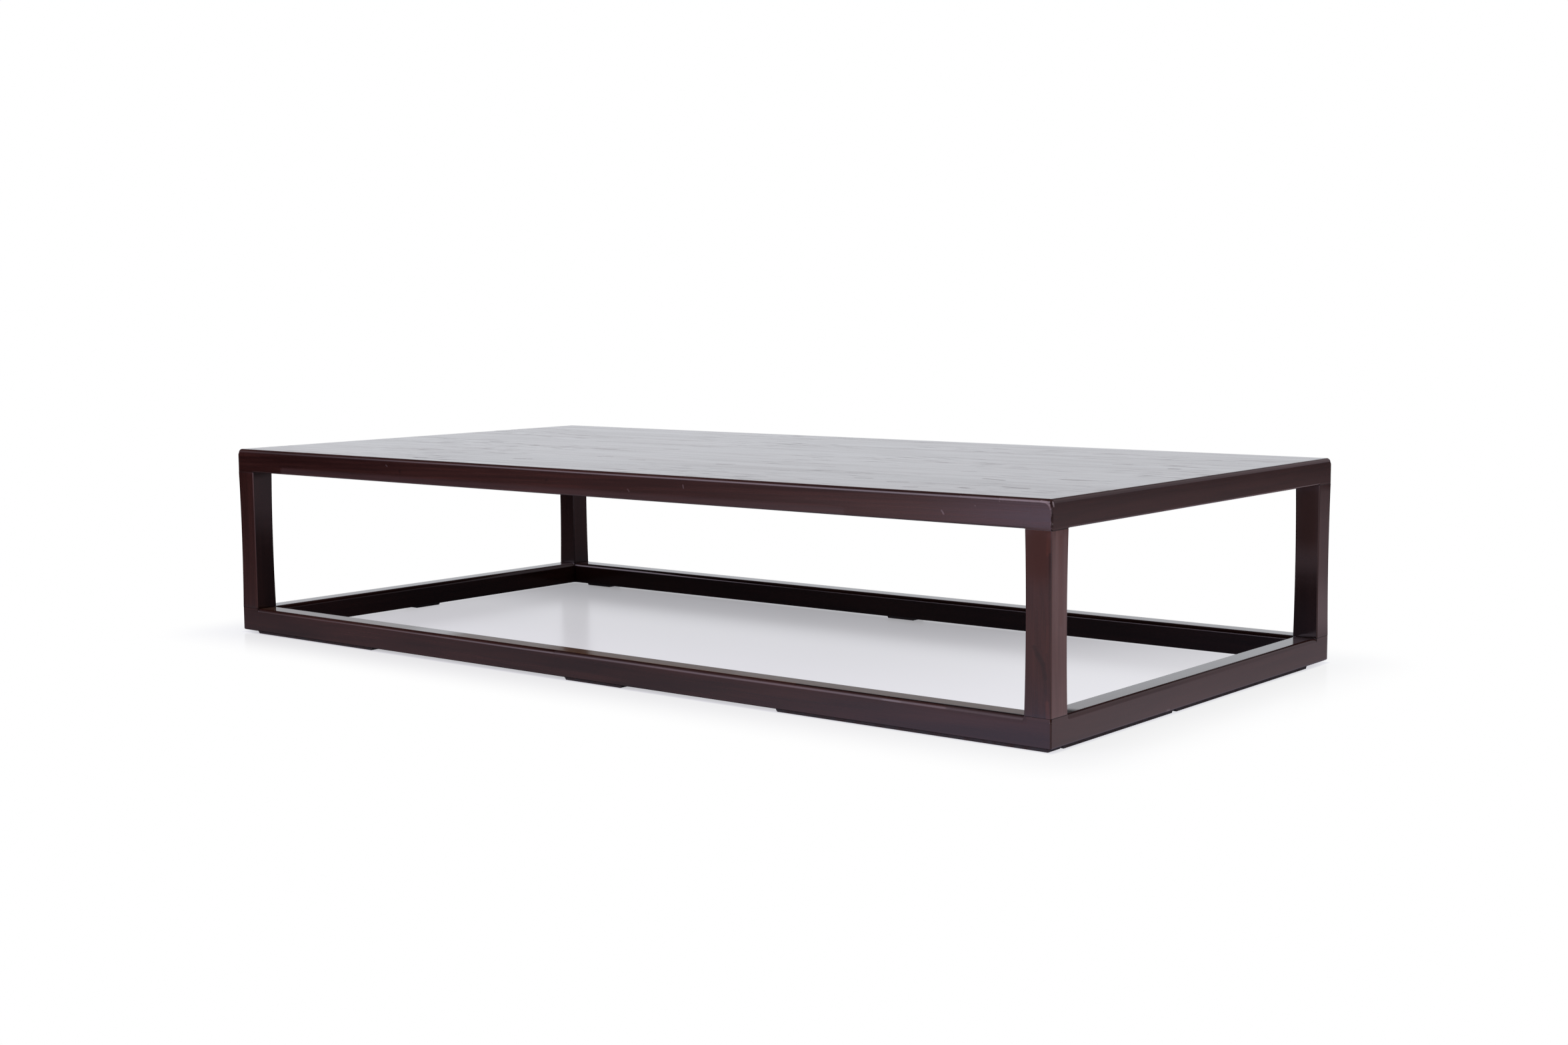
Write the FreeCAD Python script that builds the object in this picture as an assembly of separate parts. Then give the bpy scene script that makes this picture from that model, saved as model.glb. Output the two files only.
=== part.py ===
import FreeCAD, Part
import math
import os

# Low table on a floor frame, in millimetres.
# X runs along the table, Y from front to back, Z up. The origin is on the floor, under the
# middle of the table. Each function below makes one kind of piece, in its place.

# Outside size of the table
table_length = 1600.0
table_width = 800.0

# Heights, from the floor upwards
pad_height = 4.0
base_height = 38.0
leg_height = 232.0
apron_height = 20.0
board_height = 18.0

# Widths of the members
base_width = 39.5
apron_width = 39.5
leg_side = 39.5

# Rounded arrises
frame_arris = 2.5
base_arris = 6.5
board_arris = 5.5
ball_height = 9.0
leg_arris = 2.0
leg_end_ease = 0.6

# The waist of a leg: how far each side draws in half way up, and the sections it is lofted through
leg_waist = 1.0
waist_sections = 9

# Tenons on the legs, and their mortises
tenon_side = 18.0
top_tenon_length = 12.0
foot_tenon_length = 18.0
tenon_point = 1.5
glue_gap = 0.1
mortise_relief = 1.0

# Loose splines across the mitres
spline_length = 20.0
spline_across = 22.0
base_spline_height = 6.0
base_spline_level = 9.0
apron_spline_height = 4.0
apron_spline_level = 14.5

# Cross rails, slid into dovetail grooves under the board and stub-tenoned into the aprons
cross_rail_spacing = 420.0
cross_rail_width = 35.0
cross_rail_height = 18.0
dovetail_depth = 6.0
dovetail_root = 24.0
dovetail_tip = 28.0
stub_length = 10.0
stub_width = 20.0
stub_height = 9.0
cross_rail_arris = 2.0

# Corner blocks inside the aprons
block_side = 60.0
block_height = 18.0
block_clip = 8.0

# Small blocks glued in the angle between an apron and the board
glue_block_length = 60.0
glue_block_side = 16.0
glue_block_bevel = 6.0
glue_block_shares_long = (-0.790, -0.2625, 0.2625, 0.790)
glue_block_shares_short = (-0.45, 0.45)

# Thin pads under the base rails, as shares of half the rail: where each starts and ends
pad_width = 28.0
pad_inset = 3.0
pad_bevel = 3.0
front_pad_shares = ((-0.955, -0.586), (-0.045, 0.100), (0.456, 0.996))
right_pad_shares = ((-0.920, -0.210), (-0.194, 0.833))
back_pad_shares = ((-0.918, -0.840), (-0.006, 0.068), (0.840, 0.918))
left_pad_shares = ((-0.850, -0.700), (-0.110, 0.038))

# Cutting tools run this far past the faces that they cut
overrun = 1.0

# Levels and places that follow from the sizes
half_length = table_length / 2
half_width = table_width / 2
base_bottom = pad_height
base_top = base_bottom + base_height
apron_bottom = base_top + leg_height
board_bottom = apron_bottom + apron_height
table_height = board_bottom + board_height

up = FreeCAD.Vector(0, 0, 1)
along_x = FreeCAD.Vector(1, 0, 0)
along_y = FreeCAD.Vector(0, 1, 0)

# Corner names, with the signs of X and Y
corners = (
    ("front_left", -1, -1),
    ("front_right", 1, -1),
    ("back_left", -1, 1),
    ("back_right", 1, 1),
)

# Sides of a frame: the direction along the side and the direction into the table
sides = {
    "front": (along_x, along_y),
    "back": (-along_x, -along_y),
    "left": (-along_y, along_x),
    "right": (along_y, -along_x),
}


def box(low, high):
    """A box between two opposite corners."""
    size = high.sub(low)
    return Part.makeBox(size.x, size.y, size.z, low)


def prism(points, rise):
    """A flat outline of straight edges, pushed along rise."""
    outline = Part.makePolygon(points + [points[0]])
    return Part.Face(outline).extrude(rise)


def rounded_outline(half_x, half_y, radius, level):
    """A rectangle about the Z axis with round corners."""
    edges = []
    bend = radius * (1 - math.sqrt(0.5))
    turns = ((1, -1), (1, 1), (-1, 1), (-1, -1))
    corner_points = []
    for x_sign, y_sign in turns:
        by_x = FreeCAD.Vector(x_sign * (half_x - radius), y_sign * half_y, level)
        by_y = FreeCAD.Vector(x_sign * half_x, y_sign * (half_y - radius), level)
        middle = FreeCAD.Vector(x_sign * (half_x - bend), y_sign * (half_y - bend), level)
        if x_sign == y_sign:
            corner_points.append((by_y, middle, by_x))
        else:
            corner_points.append((by_x, middle, by_y))
    for index, (start, middle, end) in enumerate(corner_points):
        following = corner_points[(index + 1) % len(corner_points)][0]
        edges.append(Part.Arc(start, middle, end).toShape())
        edges.append(Part.LineSegment(end, following).toShape())
    return Part.Wire(edges)


def rounded_prism(half_x, half_y, radius, low, high):
    """A rectangular prism about the Z axis with round upright arrises."""
    outline = Part.Face(rounded_outline(half_x, half_y, radius, low))
    return outline.extrude(up * (high - low))


def edges_where(shape, test):
    """The edges of a shape whose two ends both pass a test."""
    return [edge for edge in shape.Edges if all(test(vertex.Point) for vertex in edge.Vertexes)]


def arris_cutter(start, along, into_a, into_b, length, radius):
    """The sliver to take off a straight edge so that it is left round."""
    start_a = start + into_a * radius
    start_b = start + into_b * radius
    centre = start_a + into_b * radius
    middle = centre - (into_a + into_b) * (radius * math.sqrt(0.5))
    outside = start - into_a * overrun - into_b * overrun
    outside_a = start_a - into_b * overrun
    outside_b = start_b - into_a * overrun
    section = Part.Wire([
        Part.LineSegment(outside, outside_a).toShape(),
        Part.LineSegment(outside_a, start_a).toShape(),
        Part.Arc(start_a, middle, start_b).toShape(),
        Part.LineSegment(start_b, outside_b).toShape(),
        Part.LineSegment(outside_b, outside).toShape(),
    ])
    return Part.Face(section).extrude(along * length)


def side_length(side):
    """The outside length of one side of the frame."""
    if side in ("front", "back"):
        return table_length
    return table_width


def side_origin(side, level):
    """The middle of the outer face of one side, at a level."""
    along, inward = sides[side]
    reach = half_width if side in ("front", "back") else half_length
    return inward * -reach + up * level


def mitre_wedge(side, low, high):
    """The room that one mitred member may fill: its half of both corners."""
    along, inward = sides[side]
    outer = side_origin(side, low - overrun)
    half_side = side_length(side) / 2
    depth = min(half_length, half_width)
    spread = overrun
    points = [
        outer - along * (half_side + spread) - inward * spread,
        outer + along * (half_side + spread) - inward * spread,
        outer + along * (half_side - depth) + inward * depth,
    ]
    if half_side > depth:
        points.append(outer - along * (half_side - depth) + inward * depth)
    return prism(points, up * (high - low + 2 * overrun))


def corner_place(x_sign, y_sign, inset, level):
    """A point set in by the same distance from both outer faces at a corner."""
    return FreeCAD.Vector(x_sign * (half_length - inset), y_sign * (half_width - inset), level)


def tenon_mortise(x_sign, y_sign, low, high):
    """The square mortise that a leg's tenon enters, cut across the mitre."""
    reach = tenon_side / 2 + glue_gap
    centre = corner_place(x_sign, y_sign, leg_side / 2, 0)
    corner_a = centre + FreeCAD.Vector(-reach, -reach, low)
    corner_b = centre + FreeCAD.Vector(reach, reach, high)
    return box(corner_a, corner_b)


def spline_plate(x_sign, y_sign, width, level, height, gap):
    """A flat loose spline that crosses a mitre at right angles."""
    centre = corner_place(x_sign, y_sign, width / 2, level)
    half_u = spline_length / 2 + gap
    half_v = spline_across / 2 + gap
    low = FreeCAD.Vector(-half_u, -half_v, -gap)
    high = FreeCAD.Vector(half_u, half_v, height + gap)
    plate = box(low, high)
    plate.rotate(FreeCAD.Vector(0, 0, 0), up, math.degrees(math.atan2(y_sign, x_sign)))
    plate.translate(centre)
    return plate


def spline_group(width, level, height):
    """The four splines of one frame."""
    plates = [spline_plate(x_sign, y_sign, width, level, height, 0) for name, x_sign, y_sign in corners]
    return Part.makeCompound(plates)


def frame_ring(width, low, high, round_bottom):
    """A closed rectangular frame with round outer arrises, before it is split at its mitres."""
    outer = box(FreeCAD.Vector(-half_length, -half_width, low), FreeCAD.Vector(half_length, half_width, high))

    def outside_edge(point):
        at_end = abs(abs(point.x) - half_length) < glue_gap
        at_side = abs(abs(point.y) - half_width) < glue_gap
        return at_end and at_side

    def is_rounded(edge):
        upright = abs(edge.Vertexes[0].Z - edge.Vertexes[-1].Z) > glue_gap
        at_bottom = max(vertex.Z for vertex in edge.Vertexes) < low + glue_gap
        return upright or (round_bottom and at_bottom)

    rounded = [edge for edge in edges_where(outer, outside_edge) if is_rounded(edge)]
    outer = outer.makeFillet(frame_arris, rounded)
    inner_low = FreeCAD.Vector(width - half_length, width - half_width, low - overrun)
    inner_high = FreeCAD.Vector(half_length - width, half_width - width, high + overrun)
    return outer.cut(box(inner_low, inner_high))


def free_arris(side, width, radius, edge_level, turn_up, at_inner_face):
    """Rounds one long edge of a frame member, only between the two legs."""
    along, inward = sides[side]
    length = side_length(side) - 2 * leg_side
    start = side_origin(side, edge_level) - along * (length / 2)
    into_frame = inward
    if at_inner_face:
        start = start + inward * width
        into_frame = -inward
    into_height = up if turn_up else -up
    return arris_cutter(start, along, into_frame, into_height, length, radius)


def base_rail(side, ring):
    """One mitred rail of the floor frame."""
    rail = ring.common(mitre_wedge(side, base_bottom, base_top))
    cutters = [
        free_arris(side, base_width, base_arris, base_top, False, False),
        free_arris(side, base_width, base_arris, base_top, False, True),
        free_arris(side, base_width, frame_arris, base_bottom, True, True),
    ]
    for name, x_sign, y_sign in corners:
        mortise_floor = base_top - foot_tenon_length - mortise_relief
        cutters.append(tenon_mortise(x_sign, y_sign, mortise_floor, base_top + overrun))
        level = base_bottom + base_spline_level
        cutters.append(spline_plate(x_sign, y_sign, base_width, level, base_spline_height, glue_gap))
    return rail.cut(cutters)


def apron(side, ring):
    """One mitred apron under the edge of the board."""
    piece = ring.common(mitre_wedge(side, apron_bottom, board_bottom))
    cutters = [
        free_arris(side, apron_width, frame_arris, apron_bottom, True, False),
        free_arris(side, apron_width, frame_arris, apron_bottom, True, True),
    ]
    for name, x_sign, y_sign in corners:
        mortise_roof = apron_bottom + top_tenon_length + mortise_relief
        cutters.append(tenon_mortise(x_sign, y_sign, apron_bottom - overrun, mortise_roof))
        level = apron_bottom + apron_spline_level
        cutters.append(spline_plate(x_sign, y_sign, apron_width, level, apron_spline_height, glue_gap))
    if side in ("front", "back"):
        for place in cross_rail_places():
            cutters.append(cross_rail_stubs(place, glue_gap))
    return piece.cut(cutters)


def leg_body():
    """The waisted shaft of a leg, lofted about the Z axis from the base to the apron."""
    wires = []
    span = leg_height - 2 * leg_end_ease
    for index in range(waist_sections):
        share = index / (waist_sections - 1)
        draw_in = leg_waist * (1 - (2 * share - 1) ** 2)
        half = leg_side / 2 - draw_in
        wires.append(rounded_outline(half, half, leg_arris, leg_end_ease + span * share))
    return Part.makeLoft(wires, True, True)


def leg_end(level, outward):
    """The eased end of a leg, a shallow taper that leaves a fine line at the joint."""
    half = leg_side / 2
    full = rounded_outline(half, half, leg_arris, level)
    eased_half = half - leg_end_ease
    eased = rounded_outline(eased_half, eased_half, leg_arris - leg_end_ease, level + outward * leg_end_ease)
    return Part.makeLoft([full, eased], True, True)


def tenon(start_level, length, outward):
    """A square tenon with a bevelled tip, upwards or downwards from a level."""
    half = tenon_side / 2
    tip_half = half - tenon_point
    shoulder_level = start_level + outward * (length - tenon_point)
    tip_level = start_level + outward * length
    levels = ((start_level, half), (shoulder_level, half), (tip_level, tip_half))
    wires = []
    for level, reach in levels:
        square = [
            FreeCAD.Vector(-reach, -reach, level),
            FreeCAD.Vector(reach, -reach, level),
            FreeCAD.Vector(reach, reach, level),
            FreeCAD.Vector(-reach, reach, level),
        ]
        wires.append(Part.makePolygon(square + [square[0]]))
    shaft = Part.makeLoft(wires[:2], True, True)
    point = Part.makeLoft(wires[1:], True, True)
    return shaft.fuse(point)


def leg(x_sign, y_sign):
    """A waisted leg with a tenon at each end, so that it locks both mitred frames together."""
    top_level = leg_height - leg_end_ease
    pieces = [
        leg_end(leg_end_ease, -1),
        leg_end(top_level, 1),
        tenon(leg_height, top_tenon_length, 1),
        tenon(0, foot_tenon_length, -1),
    ]
    piece = leg_body().fuse(pieces).removeSplitter()
    piece.translate(corner_place(x_sign, y_sign, leg_side / 2, base_top))
    return piece


def top_board():
    """The board, with a round upper arris that swells into a ball at each corner."""
    body_top = table_height - ball_height
    ball_level = table_height - board_arris
    body = rounded_prism(half_length, half_width, frame_arris, board_bottom, body_top)
    swelling = Part.makeLoft([
        rounded_outline(half_length, half_width, frame_arris, body_top),
        rounded_outline(half_length, half_width, board_arris, ball_level),
    ], True, True)
    grooves = [dovetail(place, glue_gap) for place in cross_rail_places()]
    return body.fuse([swelling, board_crown(ball_level)]).cut(grooves).removeSplitter()


def board_crown(level):
    """The uppermost layer of the board, with its arris and corners rounded alike."""
    low = FreeCAD.Vector(-half_length, -half_width, level - board_arris)
    crown = box(low, FreeCAD.Vector(half_length, half_width, table_height))

    def on_rim(point):
        at_end = abs(abs(point.x) - half_length) < glue_gap
        at_side = abs(abs(point.y) - half_width) < glue_gap
        return at_end and at_side

    rounded = []
    for edge in edges_where(crown, on_rim):
        if max(vertex.Z for vertex in edge.Vertexes) > table_height - glue_gap:
            rounded.append(edge)
    crown = crown.makeFillet(board_arris, rounded)
    keep_low = FreeCAD.Vector(-table_length, -table_width, level)
    keep_high = FreeCAD.Vector(table_length, table_width, table_height)
    return crown.common(box(keep_low, keep_high))


def cross_rail_places():
    """Places along the table of the cross rails under the board."""
    return (-cross_rail_spacing, 0, cross_rail_spacing)


def cross_rail_stubs(place, gap):
    """The stub tenons of a cross rail, as one bar; with a gap, their mortises."""
    reach = half_width - apron_width + stub_length
    if gap > 0:
        reach = reach + mortise_relief
    level = board_bottom - (cross_rail_height + stub_height) / 2
    low = FreeCAD.Vector(place - stub_width / 2 - gap, -reach, level - gap)
    high = FreeCAD.Vector(place + stub_width / 2 + gap, reach, level + stub_height + gap)
    return box(low, high)


def dovetail(place, gap):
    """The dovetail along the top of a cross rail; with a gap, its groove in the board."""
    reach = half_width - apron_width + gap
    root = dovetail_root / 2 + gap
    tip = dovetail_tip / 2 + gap
    roof = board_bottom + dovetail_depth + gap
    start = board_bottom
    if gap == 0:
        start = board_bottom - cross_rail_arris
    points = [
        FreeCAD.Vector(place - root, -reach, start),
        FreeCAD.Vector(place - root, -reach, board_bottom),
        FreeCAD.Vector(place - tip, -reach, roof),
        FreeCAD.Vector(place + tip, -reach, roof),
        FreeCAD.Vector(place + root, -reach, board_bottom),
        FreeCAD.Vector(place + root, -reach, start),
    ]
    if gap > 0:
        points = points[1:-1]
    return prism(points, along_y * (2 * reach))


def cross_rail(place):
    """A cross rail: dovetailed into the board above, stub-tenoned into the aprons at its ends."""
    reach = half_width - apron_width
    half = cross_rail_width / 2
    low = FreeCAD.Vector(place - half, -reach, board_bottom - cross_rail_height)
    high = FreeCAD.Vector(place + half, reach, board_bottom)
    lower_left = FreeCAD.Vector(place - half, -reach, low.z)
    lower_right = FreeCAD.Vector(place + half, -reach, low.z)
    rounding = [
        arris_cutter(lower_left, along_y, along_x, up, 2 * reach, cross_rail_arris),
        arris_cutter(lower_right, along_y, -along_x, up, 2 * reach, cross_rail_arris),
    ]
    return box(low, high).cut(rounding).fuse([dovetail(place, 0), cross_rail_stubs(place, 0)]).removeSplitter()


def corner_block(x_sign, y_sign):
    """A three-cornered block that stiffens the aprons, clipped where the mitre meets."""
    inner = corner_place(x_sign, y_sign, apron_width, board_bottom - block_height)
    into_x = along_x * -x_sign
    into_y = along_y * -y_sign
    points = [
        inner + into_x * block_clip,
        inner + into_x * block_side,
        inner + into_y * block_side,
        inner + into_y * block_clip,
    ]
    return prism(points, up * block_height)


def glue_block(side, place):
    """A short block rubbed into the angle between an apron and the board, its free arris bevelled."""
    along, inward = sides[side]
    inner_face = side_origin(side, board_bottom) + inward * apron_width
    corner = inner_face + along * (place - glue_block_length / 2)
    bevel = glue_block_bevel
    outline = (
        (0, 0),
        (glue_block_side, 0),
        (glue_block_side, bevel - glue_block_side),
        (glue_block_side - bevel, -glue_block_side),
        (0, -glue_block_side),
    )
    points = [corner + inward * reach + up * rise for reach, rise in outline]
    return prism(points, along * glue_block_length)


def glue_blocks():
    """All the glue blocks, spaced along the four aprons."""
    blocks = []
    for side in sides:
        shares = glue_block_shares_long if side in ("front", "back") else glue_block_shares_short
        for share in shares:
            blocks.append(glue_block(side, share * side_length(side) / 2))
    return Part.makeCompound(blocks)


def rail_pads(side, shares):
    """The thin pads under one base rail, bevelled at their ends."""
    along, inward = sides[side]
    if side in ("back", "left"):
        along = -along
    half_side = side_length(side) / 2
    face = side_origin(side, 0) + inward * pad_inset
    pads = []
    for start_share, end_share in shares:
        start = start_share * half_side
        end = end_share * half_side
        points = [
            face + along * (start + pad_bevel),
            face + along * (end - pad_bevel),
            face + along * end + up * pad_height,
            face + along * start + up * pad_height,
        ]
        pads.append(prism(points, inward * pad_width))
    return Part.makeCompound(pads)


def save(name, shape):
    """Writes one named piece, after a check that it is sound."""
    if not shape.isValid() or not shape.Solids:
        raise RuntimeError("the solid of " + name + " is not sound")
    shape.exportStep("parts/" + name + ".step")


def main():
    os.makedirs("parts", exist_ok=True)

    save("top_board", top_board())

    apron_ring = frame_ring(apron_width, apron_bottom, board_bottom, False)
    base_ring = frame_ring(base_width, base_bottom, base_top, True)
    for side in sides:
        save("apron_" + side, apron(side, apron_ring))
        save("base_rail_" + side, base_rail(side, base_ring))

    for name, x_sign, y_sign in corners:
        save("leg_" + name, leg(x_sign, y_sign))
        save("corner_block_" + name, corner_block(x_sign, y_sign))

    for name, place in zip(("left", "middle", "right"), cross_rail_places()):
        save("cross_rail_" + name, cross_rail(place))

    save("glue_blocks", glue_blocks())
    save("base_splines", spline_group(base_width, base_bottom + base_spline_level, base_spline_height))
    save("apron_splines", spline_group(apron_width, apron_bottom + apron_spline_level, apron_spline_height))

    save("pads_front", rail_pads("front", front_pad_shares))
    save("pads_right", rail_pads("right", right_pad_shares))
    save("pads_back", rail_pads("back", back_pad_shares))
    save("pads_left", rail_pads("left", left_pad_shares))


main()
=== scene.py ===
"""A low kang table in dark stained wood: its rubbed edges, its grain and gloss, and its studio."""

import math
from typing import NamedTuple

import bmesh
import bpy
from mathutils import Matrix, Vector, noise


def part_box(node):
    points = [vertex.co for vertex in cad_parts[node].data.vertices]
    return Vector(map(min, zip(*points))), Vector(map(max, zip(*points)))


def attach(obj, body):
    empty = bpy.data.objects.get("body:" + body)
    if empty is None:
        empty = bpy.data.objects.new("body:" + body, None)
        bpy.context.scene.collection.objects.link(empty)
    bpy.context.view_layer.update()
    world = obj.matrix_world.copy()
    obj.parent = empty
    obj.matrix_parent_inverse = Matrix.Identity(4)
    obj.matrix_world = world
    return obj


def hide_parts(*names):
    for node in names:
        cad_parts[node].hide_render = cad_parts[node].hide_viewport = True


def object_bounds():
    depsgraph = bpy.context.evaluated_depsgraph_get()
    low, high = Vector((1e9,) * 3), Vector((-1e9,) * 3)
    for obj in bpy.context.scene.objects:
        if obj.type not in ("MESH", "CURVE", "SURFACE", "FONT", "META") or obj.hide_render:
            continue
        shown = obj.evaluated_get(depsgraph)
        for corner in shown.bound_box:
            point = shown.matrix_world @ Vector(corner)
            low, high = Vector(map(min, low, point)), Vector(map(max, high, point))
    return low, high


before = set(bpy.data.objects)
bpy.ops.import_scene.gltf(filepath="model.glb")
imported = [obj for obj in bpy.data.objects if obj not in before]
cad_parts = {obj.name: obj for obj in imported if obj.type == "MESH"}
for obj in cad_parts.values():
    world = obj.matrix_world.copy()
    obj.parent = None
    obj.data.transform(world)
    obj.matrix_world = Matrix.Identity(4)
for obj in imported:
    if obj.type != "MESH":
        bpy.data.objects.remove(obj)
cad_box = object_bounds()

bl_info = {
    "name": "Low kang table",
    "version": (1, 0, 0),
    "blender": (4, 5, 0),
    "location": "3D View > Sidebar > Kang table",
    "description": "Gives a low table of dark stained wood its rubbed edges, grain and studio",
    "category": "Object",
}

AXES = "XYZ"
TABLE_SIDES = ("front", "back", "left", "right")
TABLE_CORNERS = ("front_left", "front_right", "back_left", "back_right")
GRAIN_OF_SIDE = {"front": "X", "back": "X", "left": "Y", "right": "Y"}
FACES_BESIDE_GRAIN = {"X": ("-Y", "+Y"), "Y": ("-X", "+X")}
table_low, table_high = cad_box
base_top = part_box("base_rail_front")[1].z
apron_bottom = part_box("apron_front")[0].z


# Sizes and colours that a user would change


class TableEdges(bpy.types.PropertyGroup):
    """How the arrises are rubbed by hand"""

    cut_spacing: bpy.props.FloatProperty(
        name="Cut spacing", default=0.02, min=0.005, unit="LENGTH",
        description="Distance between the places along a member where its arris can wander")
    leg_cut_spacing: bpy.props.FloatProperty(
        name="Leg cut spacing", default=0.012, min=0.004, unit="LENGTH",
        description="The same along a leg")
    board_edge: bpy.props.FloatProperty(
        name="Board edge", default=0.0055, min=0.001, unit="LENGTH",
        description="Width of the board's upper arris, which is all that rubbing touches")
    base_edge: bpy.props.FloatProperty(
        name="Base edge", default=0.0065, min=0.001, unit="LENGTH",
        description="Width of the upper arrises of the base")
    apron_edge: bpy.props.FloatProperty(
        name="Apron edge", default=0.0025, min=0.001, unit="LENGTH",
        description="Width of the lower arrises of the aprons")
    leg_edge: bpy.props.FloatProperty(
        name="Leg edge", default=0.002, min=0.001, unit="LENGTH",
        description="Width of the upright arrises of the legs")
    rub_share: bpy.props.FloatProperty(
        name="Rubbing", default=0.06, min=0.0, max=0.2, subtype="FACTOR",
        description="The most that rubbing takes off an arris, as a share of its width")


class TableWood(bpy.types.PropertyGroup):
    """Colours and gloss of the stained wood"""

    dark_stain: bpy.props.FloatVectorProperty(
        name="Dark stain", subtype="COLOR", default=(0.0135, 0.0040, 0.0034), min=0, max=1,
        description="Colour of the dense late wood")
    red_stain: bpy.props.FloatVectorProperty(
        name="Red stain", subtype="COLOR", default=(0.036, 0.0112, 0.0088), min=0, max=1,
        description="Colour where the stain lets the wood through")
    rubbed_stain: bpy.props.FloatVectorProperty(
        name="Rubbed stain", subtype="COLOR", default=(0.055, 0.024, 0.018), min=0, max=1,
        description="Colour of the worn arrises")
    pale_stain: bpy.props.FloatVectorProperty(
        name="Pale stain", subtype="COLOR", default=(0.118, 0.057, 0.051), min=0, max=1,
        description="Colour of the paler wood on the right of the front right leg")
    # Also the colour of the painted shade on the faces that look inwards
    pore_stain_and_shade: bpy.props.FloatVectorProperty(
        name="Pore stain", subtype="COLOR", default=(0.0035, 0.0016, 0.0016), min=0, max=1,
        description="Colour of knots, joints and hidden faces")
    warm_stain: bpy.props.FloatVectorProperty(
        name="Warm stain", subtype="COLOR", default=(0.075, 0.020, 0.012), min=0, max=1,
        description="Colour of the red-brown streaks")
    worn_stain: bpy.props.FloatVectorProperty(
        name="Worn stain", subtype="COLOR", default=(0.100, 0.045, 0.014), min=0, max=1,
        description="Colour where the lacquer of the rails has worn dull")
    # Colour of the painted shade at the tops of the right legs, under the aprons
    leg_shade_colour: bpy.props.FloatVectorProperty(
        name="Worn stain, legs", subtype="COLOR", default=(0.040, 0.0140, 0.0100), min=0, max=1,
        description="The same on the legs")
    # Also the colour of the painted highlights and glints at the board's front right corner, and
    # of a painted reflection low on the front apron
    nick_and_glint_colour: bpy.props.FloatVectorProperty(
        name="Nicks", subtype="COLOR", default=(0.20, 0.15, 0.16), min=0, max=1,
        description="Colour of small pale nicks")
    inner_dark: bpy.props.FloatVectorProperty(
        name="Inner wood, dark", subtype="COLOR", default=(0.11, 0.065, 0.036), min=0, max=1,
        description="Late wood of the members out of sight")
    inner_pale: bpy.props.FloatVectorProperty(
        name="Inner wood, pale", subtype="COLOR", default=(0.26, 0.17, 0.10), min=0, max=1,
        description="Early wood of the members out of sight")
    lacquer_roughness: bpy.props.FloatProperty(
        name="Lacquer roughness", default=0.14, min=0, max=1,
        description="Roughness of the satin lacquer")
    lacquer_index: bpy.props.FloatProperty(
        name="Lacquer index", default=1.42, min=1, max=2,
        description="Refractive index of the lacquer")
    dash_strength: bpy.props.FloatProperty(
        name="Dash strength", default=0.75, min=0, max=1,
        description="How much the dark dashes of grain dull the top")
    pore_depth: bpy.props.FloatProperty(
        name="Pore depth", default=0.0003, min=0, unit="LENGTH",
        description="Depth of the open pores")


class TableStudio(bpy.types.PropertyGroup):
    """The floor, the lights and the camera"""

    floor_colour: bpy.props.FloatVectorProperty(
        name="Floor", subtype="COLOR", default=(0.78, 0.79, 0.83), min=0, max=1,
        description="Colour of the glossy white floor")
    floor_reach: bpy.props.FloatProperty(
        name="Floor reach", default=14.0, min=4, unit="LENGTH",
        description="Half the side of the floor")
    inner_lift: bpy.props.FloatProperty(
        name="White under the table", default=0.52, min=0, max=1,
        description="How near to white the camera sees the floor inside the base")
    outer_lift: bpy.props.FloatProperty(
        name="White beside the table", default=0.76, min=0, max=1,
        description="How near to white the camera sees the floor just outside the base")
    shade_colour: bpy.props.FloatVectorProperty(
        name="Shade under the table", subtype="COLOR", default=(0.965, 0.96, 1.0), min=0, max=1,
        description="Tint of the white floor inside the base")
    key_colour: bpy.props.FloatVectorProperty(
        name="Front light", subtype="COLOR", default=(0.95, 0.82, 1.0), min=0, max=1,
        description="Colour of the soft light in front of the table")
    key_shine: bpy.props.FloatProperty(
        name="Front light shine", default=5.0, min=0,
        description="Strength of the front light where the lacquer mirrors it")
    sheen_colour: bpy.props.FloatVectorProperty(
        name="Sheen", subtype="COLOR", default=(3.6, 3.1, 4.6), min=0, soft_max=5,
        description="What the apron mirrors beside its front right corner")
    window_colour: bpy.props.FloatVectorProperty(
        name="Light behind", subtype="COLOR", default=(0.93, 0.95, 1.0), min=0, max=1,
        description="The pale backdrop that the top mirrors")
    key_power: bpy.props.FloatProperty(
        name="Front light power", default=24.0, min=0, unit="POWER",
        description="Power of the soft light in front of the table")
    side_power: bpy.props.FloatProperty(
        name="Side light power", default=8.0, min=0, unit="POWER",
        description="Power of the small light at the right")
    sky_power: bpy.props.FloatProperty(
        name="Overhead power", default=34.0, min=0, unit="POWER",
        description="Power of the wide light over the table")
    camera_place: bpy.props.FloatVectorProperty(
        name="Camera", subtype="TRANSLATION", unit="LENGTH",
        default=(2.09535, -2.52416, 0.54841),
        description="Where the camera stands")
    camera_azimuth: bpy.props.FloatProperty(
        name="Camera azimuth", subtype="ANGLE", default=math.radians(38.8500),
        description="How far the camera has gone round from the front to the right")
    camera_elevation: bpy.props.FloatProperty(
        name="Camera elevation", subtype="ANGLE", default=math.radians(6.0601),
        description="How far the camera looks down")
    camera_roll: bpy.props.FloatProperty(
        name="Camera roll", subtype="ANGLE", default=math.radians(-0.4252),
        description="Turn of the camera about its own view")
    camera_lens: bpy.props.FloatProperty(
        name="Lens", default=47.2322, min=10,
        description="Focal length in millimetres on a 36 mm wide sensor")


# Nodes

EDGE_ATTRIBUTE = "edge"

# The sockets that the Mix node uses for colours
MIX_FACTOR, MIX_FIRST, MIX_SECOND, MIX_RESULT = 0, 6, 7, 2

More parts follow.
